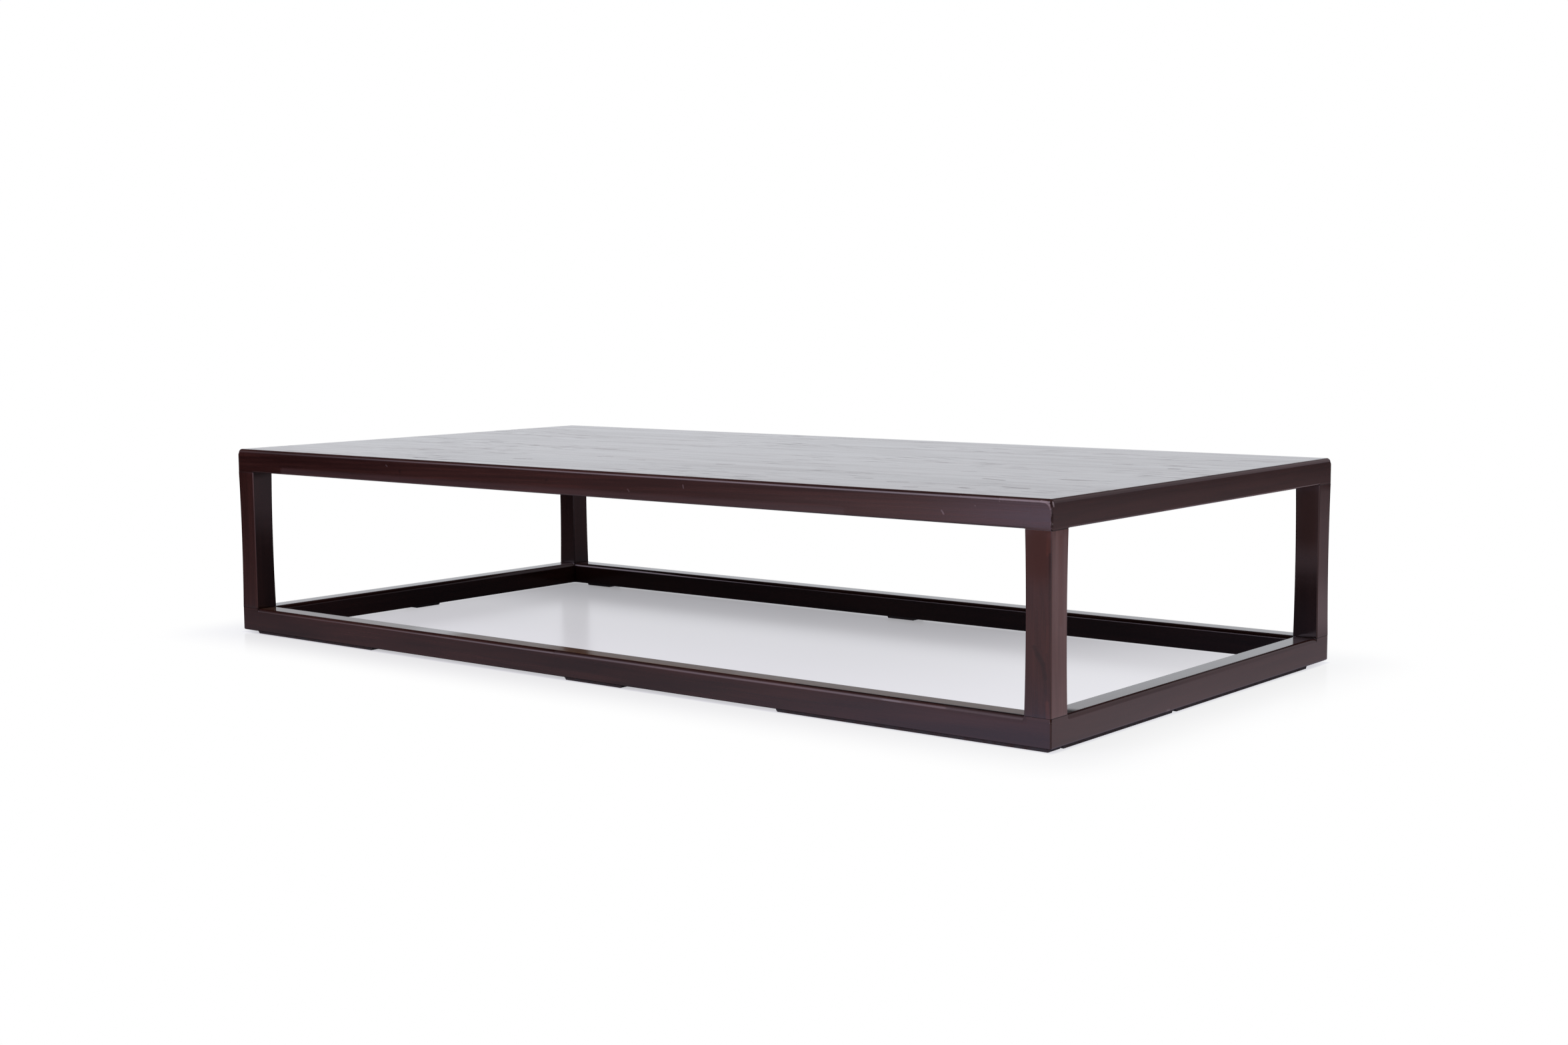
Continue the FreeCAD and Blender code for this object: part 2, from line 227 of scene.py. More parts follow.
# A spot is full within this share of its radius. A line is full within the first share of its
# width from its middle, and gone at the second.
SPOT_CORE = 0.35
LINE_CORE, LINE_REACH = 0.1, 0.5

# Each ramp runs from a value to a value of what it reads, and gives from a value to a value,
# or from 0 to 1 if it names none
RAMPS = {
    # Stained wood
    "tone": (0.10, 0.90),
    "rubbed patches": (0.4, 0.7, 0.05, 0.35),
    "pale side": (0.6, 0.9),
    "pale grain": (0.7, 1.3, 0.55, 1.0),
    "joint line": (0.0005, 0.0014, 0.9, 0.0),
    "joint on the right": (0.3, 0.7, 0.35, 1.0),
    "warm grain": (0.35, 0.65, 0.5, 1.3),
    # Painted shade on the faces that look inwards
    "painted shade, inner faces": (0.4, 0.9, 0.0, 0.45),
    "dull side": (0.97, 0.995),
    "dull stain": (0.0, 0.1),
    # Top of the board
    "sparse dashes": (0.59, 0.68),
    "clusters of dashes": (0.42, 0.60),
    "haze of grain": (0.40, 0.72, 0.0, 0.12),
    "broken dashes": (0.38, 0.62, 0.45, 1.0),
    # Plain wood and pads
    "plain tone": (0.35, 0.85),
    "plain roughness": (0.3, 0.7, 0.55, 0.72),
    "pad tone": (0.35, 0.65),
    "pad roughness": (0.3, 0.7, 0.6, 0.8),
    # The floor as the camera sees it, in metres
    "outside the base": (0.0, 0.006),
    "white under, corner to corner": (-1.1, 0.9, -0.02, 0.10, "LINEAR"),
    "white under, right half": (0.1, 0.8, 0.0, 0.10),
    "shade at the back": (0.05, 0.36, 0.0, 0.24),
    "shade, left to right": (0.2, 0.8, 1.0, 0.3),
    "white beside, left to right": (-0.8, 0.8, -0.12, 0.06, "LINEAR"),
    "white beside, outwards": (0.0, 0.16),
    # The floor as the lacquer mirrors it, in metres
    "mirrored ahead, far and wide": (-2.2, 0.9, 0.0, 0.62),
    "mirrored ahead, at the right": (0.2, 1.1, 0.0, 0.55),
    "past the right end": (0.79, 0.82),
    "mirrored aside": (-0.3, 0.5, 0.78, 0.52),
    "mirrored aside, far back": (0.9, 4.6, 0.0, 0.42),
    "mirrored aside, in front": (-1.6, -0.4, 0.7, 0.0),
    "glow aside, starts": (0.1, 0.6, 0.0, 0.27),
    "glow aside, ends": (0.95, 1.45, 0.0, 0.27),
    "glow aside, outwards": (0.22, 0.5),
    "tint, left to right": (0.1, 0.8),
    "tint, near to far": (0.05, 0.6),
    # The room around, by the agreement of directions
    "window, sideways": (0.80, 0.93),
    "window, upwards": (0.20, 0.34, 1.0, 0.0),
    "dim room, upwards": (0.0, 0.14),
    "pale wall at the right": (0.60, 0.90, 0.0, 0.4),
    "dark wall at the back left": (0.55, 0.80, 0.0, 0.85),
    "front light": (0.84, 0.98),
}


class Wire:
    """A socket that can stand in sums: each sum adds the Math node for it"""

    def __init__(self, finish, socket):
        self.finish = finish
        self.socket = socket

    def maths(self, operation, first, second=0.0):
        """Adds a Math node"""
        return self.finish.node(
            "ShaderNodeMath", {"operation": operation}, {0: first, 1: second})

    def __add__(self, other):
        return self.maths("ADD", self, other)

    def __sub__(self, other):
        return self.maths("SUBTRACT", self, other)

    def __rsub__(self, other):
        return self.maths("SUBTRACT", other, self)

    def __mul__(self, other):
        return self.maths("MULTIPLY", self, other)

    def __abs__(self):
        return self.maths("ABSOLUTE", self)

    __radd__ = __add__
    __rmul__ = __mul__


class Finish:
    """The nodes of one material or of the world"""

    def __init__(self, owner):
        self.owner = owner
        owner.use_nodes = True
        self.tree = owner.node_tree
        self.tree.nodes.clear()

    def node(self, kind, settings=None, sockets=None, out=0):
        """Adds a node, its settings before its values and links, and returns an output of it"""
        made = self.tree.nodes.new(kind)
        for name, value in (settings or {}).items():
            setattr(made, name, value)
        for name, value in (sockets or {}).items():
            if isinstance(value, Wire):
                self.tree.links.new(value.socket, made.inputs[name])
            else:
                made.inputs[name].default_value = value
        return Wire(self, made.outputs[out]) if made.outputs else None

    def colour(self, factor, first, second):
        """Mixes two colours"""
        first, second = (c if isinstance(c, Wire) else (*c[:3], 1) for c in (first, second))
        return self.node(
            "ShaderNodeMix", {"data_type": "RGBA"},
            {MIX_FACTOR: factor, MIX_FIRST: first, MIX_SECOND: second}, out=MIX_RESULT)

    def between(self, value, low, high, start=0.0, end=1.0, shape="SMOOTHSTEP"):
        """Goes from start to end as the value goes from low to high"""
        return self.node(
            "ShaderNodeMapRange", {"interpolation_type": shape},
            {"Value": value, "From Min": low, "From Max": high, "To Min": start, "To Max": end})

    def ramp(self, value, name):
        """Does the same by one of the named ramps"""
        return self.between(value, *RAMPS[name])

    def vector(self, operation, first, second=(0, 0, 0), out=0):
        """Adds a step of vector maths"""
        return self.node(
            "ShaderNodeVectorMath", {"operation": operation}, {0: first, 1: second}, out=out)

    def agreement(self, direction, other):
        """1 where two directions are the same, and 0 where they are square to each other"""
        return self.vector("DOT_PRODUCT", direction, other, out="Value")

    def part(self, place, axis):
        """One coordinate of a place or a direction"""
        return self.node("ShaderNodeSeparateXYZ", None, {"Vector": place}, out=axis)

    def place(self):
        """Where on the object a point is"""
        return self.node("ShaderNodeTexCoord", out="Object")

    def facing(self):
        """The direction that the surface faces"""
        return self.node("ShaderNodeNewGeometry", out="Normal")

    def rubbed_edge(self):
        """1 on an arris and 0 beyond its width"""
        return self.node("ShaderNodeAttribute", {"attribute_name": EDGE_ATTRIBUTE}, out="Fac")

    def seen_by(self, ray):
        """1 for one kind of ray, Camera or Glossy"""
        return self.node("ShaderNodeLightPath", out=f"Is {ray} Ray")

    def grain(self, place, along, layer):
        """Noise drawn out along the grain"""
        stretch = [layer.run if axis == along else layer.across for axis in AXES]
        return self.node("ShaderNodeTexNoise", None, {
            "Vector": self.vector("MULTIPLY", place, stretch), "Scale": 1.0,
            "Detail": layer.detail, "Roughness": layer.roughness, "Distortion": layer.distortion})

    def spot(self, place, middle, radius):
        """1 around a place and 0 beyond the radius"""
        away = self.vector("DISTANCE", place, middle, out="Value")
        return self.between(away, radius * SPOT_CORE, radius, 1.0, 0.0)

    def line(self, place, start, end, width, strength=1.0):
        """The strength on the line from start to end, and 0 beyond half its width"""
        run = Vector(end) - Vector(start)
        reach = self.agreement(self.vector("SUBTRACT", place, start), run / run.length_squared)
        held = self.between(reach, 0.0, 1.0, shape="LINEAR")
        nearest = self.vector("ADD", self.vector("MULTIPLY", run, held), start)
        away = self.vector("DISTANCE", place, nearest, out="Value")
        return self.between(away, width * LINE_CORE, width * LINE_REACH, strength, 0.0)

    def pores(self, height, strength, depth):
        """The relief of the open grain"""
        return self.node("ShaderNodeBump", None, {
            "Strength": strength, "Distance": depth, "Height": height}, out="Normal")

    def surface(self, colour, roughness, more):
        """A surface with its colour, its roughness and the other sockets that are given"""
        return self.node("ShaderNodeBsdfPrincipled", None, {
            "Base Color": colour, "Roughness": roughness, **more})

    def glow(self, colour):
        """A surface that shows its colour as it is, whatever the light"""
        return self.node("ShaderNodeEmission", None, {"Color": colour, "Strength": 1.0})

    def either(self, factor, first, second):
        """Mixes two shaders"""
        return self.node("ShaderNodeMixShader", None, {0: factor, 1: first, 2: second})

    def output(self, shader, kind="ShaderNodeOutputMaterial"):
        """Ends the tree of nodes"""
        self.node(kind, None, {"Surface": shader})


# Grain, in layers from the broadest to the finest, with the share of each in the tone.
# Pores and haze take their shares of the streaks and the fine grain.


class Layer(NamedTuple):
    """Features to a metre along the grain and across it, and the settings of their noise"""

    run: float
    across: float
    detail: float = 2.0
    roughness: float = 0.5
    distortion: float = 0.0


STAINED_GRAIN = (Layer(2.2, 14), Layer(3.5, 120, 4, 0.62, 0.3), Layer(14, 620, 2, 0.6))
STAINED_SHARES = (0.9, 0.9, 0.3)
STAINED_LEVEL = 0.62
STAINED_PORES = (1.0, 0.4)
RING_SHARE = 0.15
RING_SQUEEZE = 0.12
RING_WAVE = {
    "Scale": 60.0, "Distortion": 5.0, "Detail": 2.0, "Detail Scale": 0.35,
    "Detail Roughness": 0.6}
RING_TILT = {"X": (0.0, 0.012, 0.018), "Y": (0.014, 0.0, 0.011), "Z": (0.05, 0.035, 0.0)}
RING_PITH = {"X": (0.0, 0.09, 0.02), "Y": (0.05, 0.0, 0.03), "Z": (-0.772, 0.372, 0.0)}

TOP_GRAIN = (Layer(1.6, 7), Layer(3.0, 34, 4, 0.6, 0.4), Layer(9, 190, 3, 0.6, 0.3))
TOP_SHARES = (0.7, 0.6, 0.3)
TOP_LEVEL = 0.30
TOP_PORES = (1.0, 0.5)
TOP_HAZE = (0.6, 0.4)
DASH_GRAIN = Layer(17, 150, 1)
DASH_CLUSTERS = Layer(3.0, 9)
SPARSE_DASH_SHARE = 0.36

PLAIN_GRAIN = (Layer(4, 110, 4, 0.6, 0.4), Layer(25, 900, 2, 0.6))
PLAIN_SHARES = (0.8, 0.35)
PAD_CLOUDS = Layer(90, 90, 4)
PAD_SPECKS = Layer(900, 900, 1)

NOISE_MIDDLE = 0.5
ROUGHNESS_SPREAD = 0.05
NICK_ROUGHNESS = 0.3
WORN_ROUGHNESS = 0.55
WORN_TOP_ROUGHNESS = 0.6
EDGE_GLOSS = 0.2
PORE_RELIEF = {"stained": 0.12, "top": 0.10, "plain": 0.5, "pad": 0.4}


# Marks of use, figures in the grain, and painted highlights and shade


def marks_on(axis, level, *rows):
    """Marks at one level of an axis, from rows that give their places by the other two axes"""
    at = AXES.index(axis)
    return tuple(
        ((*start[:at], level, *start[at:]), (*end[:at], level, *end[at:]), width, strength)
        for start, end, width, strength in rows)


class WearAndPaintedLight(NamedTuple):
    """What sets one sort of member apart from plain stained wood: its wear and marks, and its
    painted highlights and shade

    Joints are the heights of joint lines. Darks include painted shade, and nicks include painted
    highlights and glints. A pale spot has its middle, its radius and the way that its surface
    faces. The worn gloss is what is left of it on the matt patches of worn lacquer and of painted
    shade.
    """

    joints: tuple = ()
    darks: tuple = ()
    nicks_and_glints: tuple = ()
    warms: tuple = ()
    dulls_and_shade: tuple = ()
    pale_spot: tuple = ()
    worn_gloss: float = 0.5


UP = (0.0, 0.0, 1.0)
FORWARD = (0.0, -1.0, 0.0)
RIGHTWARD = (1.0, 0.0, 0.0)

# Each mark goes from a place to a place, with its width and its strength
FRONT_KNOTS = marks_on(
    "Y", table_low.y,
    ((-0.3872, 0.2913), (-0.3872, 0.2933), 0.006, 0.7),
    ((-0.0635, 0.2942), (-0.0615, 0.2945), 0.006, 0.5),
    ((0.0343, 0.2998), (0.0353, 0.2998), 0.004, 0.4),
    ((0.6867, 0.3026), (0.6877, 0.3026), 0.003, 0.5),
    ((0.7691, 0.3039), (0.7693, 0.2753), 0.0012, 0.6))
# Painted shade: a dark line along the front arris of the base, where it mirrors dark
BASE_ARRIS_SHADE = marks_on(
    "Y", -0.3945,
    ((0.40, 0.0425), (0.76, 0.0425), 0.006, 0.95))
# Pale nicks on the front; the last row is a faint pale band low on the front apron, a painted
# reflection of the near floor
FRONT_NICKS_AND_SHEEN = marks_on(
    "Y", table_low.y,
    ((0.6385, 0.2894), (0.6415, 0.2854), 0.004, 0.45),
    ((0.205, 0.3000), (0.206, 0.2960), 0.003, 0.3),
    ((0.10, 0.2890), (0.103, 0.2860), 0.003, 0.2),
    ((-0.42, 0.3010), (-0.417, 0.2990), 0.003, 0.2),
    ((0.6885, 0.2985), (0.689, 0.2980), 0.0016, 0.6),
    ((0.724, 0.3060), (0.7245, 0.3055), 0.0014, 0.5),
    ((-0.68, 0.2785), (0.48, 0.2785), 0.018, 0.075))
# Painted highlight: pale lines along the board's front arris that bend down round its front right
# corner
PAINTED_CORNER_HIGHLIGHT = marks_on(
    "Y", -0.3995,
    ((0.6658, 0.3089), (0.7248, 0.3087), 0.0040, 0.15),
    ((0.7248, 0.3087), (0.7840, 0.3090), 0.0045, 0.40),
    ((0.7840, 0.3090), (0.7915, 0.3078), 0.0048, 0.75),
    ((0.7915, 0.3078), (0.7953, 0.3048), 0.0048, 0.75),
    ((0.7953, 0.3048), (0.7972, 0.3001), 0.0040, 0.55),
    ((0.7972, 0.3001), (0.7982, 0.2920), 0.0036, 0.25))
CROSS_MARKS = marks_on(
    "Z", base_top,
    ((0.787, -0.331), (0.786, -0.327), 0.007, 0.8),
    ((0.774, -0.172), (0.774, -0.169), 0.006, 0.6),
    ((0.789, -0.138), (0.788, -0.133), 0.006, 0.7),
    ((0.790, 0.278), (0.790, 0.281), 0.007, 0.6))
# A pale nick on the right base rail, and a painted glint on the board just right of its front
# right corner
CROSS_NICKS_AND_GLINT = (
    ((0.8, -0.105, 0.0055), (0.8, -0.1, 0.0050), 0.008, 0.5),
    ((0.7993, -0.3972, 0.3085), (0.7998, -0.3968, 0.3035), 0.0038, 1.0))
LEG_FIGURE = marks_on(
    "Y", table_low.y,
    ((0.7749, 0.1290), (0.7800, 0.1200), 0.010, 0.7),
    ((0.7800, 0.1200), (0.7875, 0.1090), 0.011, 0.8),
    ((0.7875, 0.1090), (0.7905, 0.0930), 0.010, 0.8),
    ((0.7905, 0.0930), (0.7920, 0.0740), 0.008, 0.5),
    ((0.7968, 0.2450), (0.7965, 0.1900), 0.006, 0.6))
LEG_WARMS = marks_on(
    "Y", table_low.y,
    ((0.7955, 0.2690), (0.7935, 0.2450), 0.009, 0.42),
    ((0.7935, 0.1560), (0.7925, 0.1250), 0.007, 0.25),
    ((0.7935, 0.0620), (0.7955, 0.0430), 0.009, 0.7),
) + marks_on(
    "X", table_high.x,
    ((-0.379, 0.262), (-0.377, 0.160), 0.018, 0.6))
TOP_DASHES = marks_on(
    "Z", table_high.z,
    ((-0.237, -0.296), (-0.211, -0.286), 0.010, 0.8),
    ((-0.162, -0.184), (-0.141, -0.179), 0.010, 0.6),
    ((-0.070, -0.212), (-0.048, -0.204), 0.009, 0.7),
    ((-0.182, -0.008), (-0.160, 0.002), 0.010, 0.6),
    ((0.099, -0.203), (0.124, -0.195), 0.010, 0.7),
    ((0.490, -0.308), (0.514, -0.299), 0.009, 0.9),
    ((0.551, -0.359), (0.568, -0.355), 0.008, 0.7),
    ((0.619, -0.328), (0.628, -0.328), 0.012, 0.8),
    ((0.569, -0.198), (0.605, -0.205), 0.011, 1.0),
    ((0.659, -0.289), (0.699, -0.293), 0.010, 0.9),
    ((0.417, -0.283), (0.438, -0.276), 0.009, 0.7),
    ((0.286, -0.209), (0.314, -0.207), 0.009, 0.6),
    ((0.479, -0.115), (0.496, -0.109), 0.010, 0.6),
    ((0.697, 0.088), (0.709, 0.089), 0.014, 1.0),
    ((0.591, 0.113), (0.616, 0.121), 0.010, 0.5))

# A dull place also has the way that its surface faces, if only one, and its stain. Some are worn,
# matt lacquer; some are painted shade, matt and dark where a sheen or highlight would be.
# The first and the last two are painted shade: matt dark wood on the front arris of the base that
# takes away its highlight. The others dull the top of the front rail.
FRONT_DULLS_AND_SHADE = (
    ((-0.05, -0.3985, 0.0390), (0.54, -0.3985, 0.0390), 0.018, 0.45, None, "dark_stain"),
    ((-0.25, -0.37, 0.042), (0.80, -0.37, 0.042), 0.14, 0.56, UP, "worn_stain"),
    ((-0.05, -0.37, 0.042), (0.25, -0.37, 0.042), 0.10, 0.10, UP, "worn_stain"),
    ((-0.80, -0.38, 0.042), (-0.42, -0.38, 0.042), 0.14, 0.25, UP, "worn_stain"),
    ((0.58, -0.3985, 0.0390), (0.76, -0.3985, 0.0390), 0.018, 0.45, None, "dark_stain"),
    ((0.65, -0.3985, 0.0390), (0.76, -0.3985, 0.0390), 0.018, 0.45, None, "dark_stain"))
# Painted shade: a matt dark patch on the top of the right base rail, against the front right leg
CROSS_PAINTED_SHADE = (
    ((0.790, -0.372, 0.042), (0.790, -0.346, 0.042), 0.060, 1.0, UP, "dark_stain"),)
# Painted shade: matt dark patches at the top of the front faces of the two right legs, under the
# aprons
LEG_PAINTED_SHADE = (
    ((0.781, -0.41, 0.235), (0.781, -0.41, 0.264), 0.09, 1.0, FORWARD, "leg_shade_colour"),
    ((0.781, 0.352, 0.200), (0.781, 0.352, 0.274), 0.090, 0.8, FORWARD, "leg_shade_colour"))

# Rails and aprons by the run of their grain, and the legs, whose grain stands upright
STAINED_NAME = {
    "X": "stained rail wood lengthways", "Y": "stained rail wood crossways",
    "Z": "stained leg wood"}
STAINED_WEAR_AND_LIGHT = {
    "X": WearAndPaintedLight(darks=FRONT_KNOTS + BASE_ARRIS_SHADE, nicks_and_glints=FRONT_NICKS_AND_SHEEN + PAINTED_CORNER_HIGHLIGHT,
              dulls_and_shade=FRONT_DULLS_AND_SHADE),
    "Y": WearAndPaintedLight(darks=CROSS_MARKS, nicks_and_glints=CROSS_NICKS_AND_GLINT, dulls_and_shade=CROSS_PAINTED_SHADE),
    "Z": WearAndPaintedLight(joints=(base_top, apron_bottom), darks=LEG_FIGURE, warms=LEG_WARMS,
              dulls_and_shade=LEG_PAINTED_SHADE, pale_spot=((0.8, -0.381, 0.165), 0.30, RIGHTWARD),
              worn_gloss=0.2)}


# Finishes of the wood


def made_once(name, make, *details):
    """The material of that name, which is made for the first piece that asks for it"""
    if name not in bpy.data.materials:
        make(Finish(bpy.data.materials.new(name)), *details)
    return bpy.data.materials[name]


def weighed(layers, shares):
    """The sum of layers of grain, each by its share"""
    return sum(layer * share for layer, share in zip(layers, shares))


def satin(streaks, wood):
    """The roughness of the lacquer, which follows the streaks a little"""
    return (streaks - NOISE_MIDDLE) * ROUGHNESS_SPREAD + wood.lacquer_roughness


def growth_rings(finish, place, along):
    """Rings about a pith that runs nearly along the grain"""
    tilted = finish.node("ShaderNodeMapping", None, {
        "Vector": place, "Location": RING_PITH[along], "Rotation": RING_TILT[along]})
    squeeze = [RING_SQUEEZE if axis == along else 1.0 for axis in AXES]
    return finish.node(
        "ShaderNodeTexWave", {"wave_type": "RINGS", "rings_direction": along},
        {"Vector": finish.vector("MULTIPLY", tilted, squeeze), **RING_WAVE})


def stained_wood(finish, wood, along, wear_and_light):
    """Wood stained nearly black and lacquered, with its grain along one axis, its wear and marks,
    and its painted highlights and shade
    """
    place, facing = finish.place(), finish.facing()
    slow, streaks, fine = (finish.grain(place, along, layer) for layer in STAINED_GRAIN)
    tone = weighed((slow, streaks, fine), STAINED_SHARES) \
        + growth_rings(finish, place, along) * RING_SHARE - STAINED_LEVEL
    coloured = finish.colour(finish.ramp(tone, "tone"), wood.dark_stain, wood.red_stain)
    rubbed = finish.rubbed_edge() * finish.ramp(slow, "rubbed patches")
    coloured = finish.colour(rubbed, coloured, wood.rubbed_stain)
    if wear_and_light.pale_spot:
        middle, radius, side = wear_and_light.pale_spot
        pale = finish.spot(place, middle, radius) \
            * finish.ramp(finish.agreement(facing, side), "pale side") \
            * finish.ramp(streaks + slow, "pale grain")
        coloured = finish.colour(pale, coloured, wood.pale_stain)
    for joint in wear_and_light.joints:
        joint_line = finish.ramp(abs(finish.part(place, "Z") - joint), "joint line") \
            * finish.ramp(finish.part(facing, "X"), "joint on the right")
        coloured = finish.colour(joint_line, coloured, wood.pore_stain_and_shade)

    warm_grain = finish.ramp(streaks, "warm grain")
    stains = [(finish.line(place, *mark) * warm_grain, wood.warm_stain) for mark in wear_and_light.warms]
    # Dark knots, marks and figure, and the line of painted shade on the front arris of the base
    stains += [(finish.line(place, *mark), wood.pore_stain_and_shade) for mark in wear_and_light.darks]
    for mark, stain in stains:
        coloured = finish.colour(mark, coloured, stain)
    roughness = satin(streaks, wood)
    # Pale nicks, and painted highlights, glints and reflection, in the nick colour
    for mark in wear_and_light.nicks_and_glints:
        nick_and_glint = finish.line(place, *mark)
        coloured = finish.colour(nick_and_glint, coloured, wood.nick_and_glint_colour)
        roughness = roughness + nick_and_glint * NICK_ROUGHNESS
    # Painted shade: faces that look in towards the middle of the table are darkened towards the
    # colour of the pores
    middle_way = finish.vector("MULTIPLY", finish.vector("SIGN", place), (-1, -1, 0))
    inner_face_shade = finish.ramp(finish.agreement(facing, middle_way), "painted shade, inner faces")
    coloured = finish.colour(inner_face_shade, coloured, wood.pore_stain_and_shade)

    relief = finish.pores(
        weighed((streaks, fine), STAINED_PORES), PORE_RELIEF["stained"], wood.pore_depth)
    shader = finish.surface(
        coloured, roughness, {"IOR": wood.lacquer_index, "Normal": relief})
    # Matt patches: worn lacquer, and painted shade where the sheen or highlight is taken away
    if wear_and_light.dulls_and_shade:
        dull, worn = 0.0, wood.dark_stain
        for start, end, width, strength, side, stain in wear_and_light.dulls_and_shade:
            patch = finish.line(place, start, end, width, strength)
            if side:
                patch = patch * finish.ramp(finish.agreement(facing, side), "dull side")
            dull = patch + dull
            worn = finish.colour(finish.ramp(patch, "dull stain"), worn, getattr(wood, stain))
        for mark, stain in stains:
            worn = finish.colour(mark, worn, stain)
        matt = finish.surface(
            worn, WORN_ROUGHNESS,
            {"IOR": wood.lacquer_index, "Specular IOR Level": wear_and_light.worn_gloss})
        shader = finish.either(dull, shader, matt)
    finish.output(shader)


def board_top_wood(finish, wood):
    """The top of the board, whose dark dashes of grain dull its sheen"""
    place = finish.place()
    slow, streaks, fine = (finish.grain(place, "X", layer) for layer in TOP_GRAIN)
    tone = weighed((slow, streaks, fine), TOP_SHARES) - TOP_LEVEL
    coloured = finish.colour(finish.ramp(tone, "tone"), wood.dark_stain, wood.red_stain)

    haze = finish.ramp(weighed((streaks, fine), TOP_HAZE), "haze of grain")
    sparse = finish.ramp(finish.grain(place, "X", DASH_GRAIN), "sparse dashes") \
        * finish.ramp(finish.grain(place, "X", DASH_CLUSTERS), "clusters of dashes")
    plainest = sum(finish.line(place, *dash) for dash in TOP_DASHES) \
        * finish.ramp(fine, "broken dashes")
    dulled = haze + sparse * SPARSE_DASH_SHARE + plainest * wood.dash_strength \
        - finish.rubbed_edge() * EDGE_GLOSS

    relief = finish.pores(
        weighed((streaks, fine), TOP_PORES), PORE_RELIEF["top"], wood.pore_depth)
    lacquer = finish.surface(
        coloured, satin(streaks, wood), {"IOR": wood.lacquer_index, "Normal": relief})
    worn = finish.surface(coloured, WORN_TOP_ROUGHNESS, {"IOR": wood.lacquer_index})
    finish.output(finish.either(dulled, lacquer, worn))


def plain_wood(finish, wood, along):
    """Plain hardwood out of sight, planed and hardly stained"""
    place = finish.place()
    streaks, fine = (finish.grain(place, along, layer) for layer in PLAIN_GRAIN)
    tone = finish.ramp(weighed((streaks, fine), PLAIN_SHARES), "plain tone")
    coloured = finish.colour(tone, wood.inner_dark, wood.inner_pale)
    relief = finish.pores(fine, PORE_RELIEF["plain"], wood.pore_depth)
    finish.output(finish.surface(
        coloured, finish.ramp(fine, "plain roughness"), {"Normal": relief}))


def pad_wood(finish, wood):
    """Dull dark slips under the base"""
    place = finish.place()
    cloudy, speck = (finish.grain(place, "X", layer) for layer in (PAD_CLOUDS, PAD_SPECKS))
    coloured = finish.colour(
        finish.ramp(cloudy, "pad tone"), wood.pore_stain_and_shade, wood.dark_stain)
    relief = finish.pores(speck, PORE_RELIEF["pad"], wood.pore_depth)
    finish.output(finish.surface(
        coloured, finish.ramp(cloudy, "pad roughness"), {"Normal": relief}))


def stained_finish(wood, along):
    """The stained wood of the members whose grain runs along one axis"""
    return made_once(STAINED_NAME[along], stained_wood, wood, along, STAINED_WEAR_AND_LIGHT[along])


# Members

MERGE_DISTANCE = 1e-6
CUT_TOLERANCE = 1e-7
FLAT_ANGLE = math.radians(0.3)
SHARP_ANGLE = math.radians(35)

# Keeps the even cuts off the places where the joinery already has vertices
CUT_NUDGE = 0.00003

# Rubbing fades out over this length at the ends, and its depth wanders with smooth noise
END_FADE = 0.045
WANDER_TURNS = 4.5
WANDER_MIDDLE = 0.5
WANDER_SPREAD = 0.8

# Which of the board's finishes is on the faces across X, Y and Z. The margin leaves the
# rounded arris to the finish of its side.
FINISH_OF_FACING = (1, 2, 0)
TOP_FACE_MARGIN = 0.25


def cuts_for(low, high, run_axes, spacing, sides, edge_width):
    """Where a member is cut: in even steps along its run, and at the width of each arris"""
    cuts = []
    for axis in run_axes:
        start, end = low[AXES.index(axis)], high[AXES.index(axis)]
        count = max(1, round((end - start) / spacing))
        cuts += [(axis, start + (end - start) * i / count + CUT_NUDGE) for i in range(1, count)]
    for sign, axis in sides:
        at = AXES.index(axis)
        cuts.append((axis, high[at] - edge_width if sign == "+" else low[at] + edge_width))
    return cuts


def cut_across(shape, axis, level):
    """Cuts all edges and faces that cross one level of an axis"""
    where, facing = Vector((0, 0, 0)), Vector((0, 0, 0))
    where[AXES.index(axis)] = level
    facing[AXES.index(axis)] = 1
    bmesh.ops.bisect_plane(
        shape, geom=shape.verts[:] + shape.edges[:] + shape.faces[:],
        dist=CUT_TOLERANCE, plane_co=where, plane_no=facing)


def nearest_side(point, low, high, sides):
    """The gap to the nearest of the named sides of a box, and the direction inwards from it"""
    gaps = []
    for sign, axis in sides:
        at = AXES.index(axis)
        inward = Vector((0, 0, 0))
        inward[at] = -1 if sign == "+" else 1
        gap = high[at] - point[at] if sign == "+" else point[at] - low[at]
        gaps.append((max(0.0, gap), inward))
    return min(gaps, key=lambda pair: pair[0])


def rub_arrises(shape, low, high, run_axes, sides, edge_width, rub_depth):
    """Rubs the arrises between two sets of sides, by a depth that wanders and fades at the ends"""
    edge_layer = shape.verts.layers.float.new(EDGE_ATTRIBUTE)
    for vert in shape.verts:
        first, second = (nearest_side(vert.co, low, high, some) for some in sides)
        closeness = max(0.0, 1 - max(first[0], second[0]) / edge_width)
        vert[edge_layer] = closeness
        if closeness > 0:
            ends = 1.0
            if len(run_axes) == 1:
                at = AXES.index(run_axes)
                from_ends = min(vert.co[at] - low[at], high[at] - vert.co[at])
                ends = max(0.0, min(1.0, from_ends / END_FADE))
            wander = WANDER_MIDDLE + WANDER_SPREAD * noise.noise(vert.co * WANDER_TURNS)
            depth = rub_depth * closeness * ends * max(0.0, wander)
            vert.co += (first[1] + second[1]) * depth


